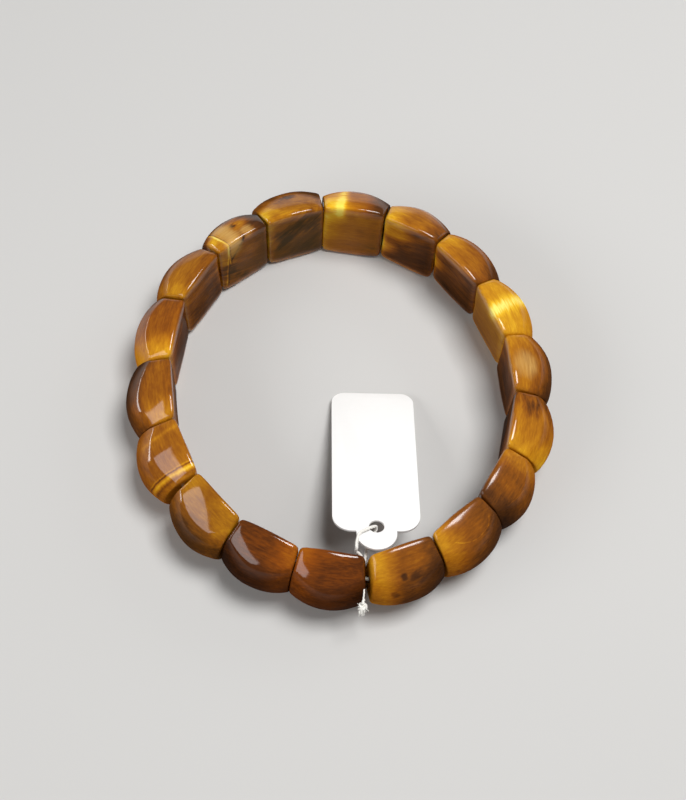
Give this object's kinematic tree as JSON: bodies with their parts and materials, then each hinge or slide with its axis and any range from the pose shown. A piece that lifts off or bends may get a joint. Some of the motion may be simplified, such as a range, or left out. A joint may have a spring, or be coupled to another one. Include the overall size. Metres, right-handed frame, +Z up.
{
  "type": "tiger's eye bead bracelet",
  "caption": "Stretch bracelet of polished, domed tiger's eye beads strung side by side on elastic, lying flat, with a blank white card tag tied on by a cotton thread.",
  "frame": {"origin": "middle of the bracelet's box, on the surface it lies on", "axes": "+Z up along the wrist opening, +X right and +Y away from the viewer, who sees the tag at the near side"},
  "size_m": [0.0666, 0.071, 0.0131],
  "materials": {
    "stone_dark": "polished, dark brown with blackish streaks",
    "stone_gold": "polished, golden with a bright silky band",
    "stone_brown": "polished, golden brown with darker bands",
    "stone_amber": "polished, amber with silky bands",
    "stone_red": "polished, reddish brown",
    "stone_cream": "polished, creamy gold with a dark pit and cracks",
    "elastic": "satin, clear to pale",
    "card": "matte white card, blank",
    "cotton": "matte white cotton"
  },
  "bodies": {
    "root": {"bead_01": "stone_dark", "bead_02": "stone_gold", "bead_03": "stone_brown", "bead_04": "stone_brown", "bead_05": "stone_gold", "bead_06": "stone_brown", "bead_07": "stone_amber", "bead_08": "stone_brown", "bead_09": "stone_amber", "bead_10": "stone_amber", "bead_11": "stone_red", "bead_12": "stone_red", "bead_13": "stone_gold", "bead_14": "stone_gold", "bead_15": "stone_amber", "bead_16": "stone_amber", "bead_17": "stone_brown", "bead_18": "stone_cream", "elastic_upper": "elastic", "elastic_lower": "elastic", "tag": "card", "tag_thread": "cotton", "thread_knot": "cotton"}
  },
  "joints": []
}
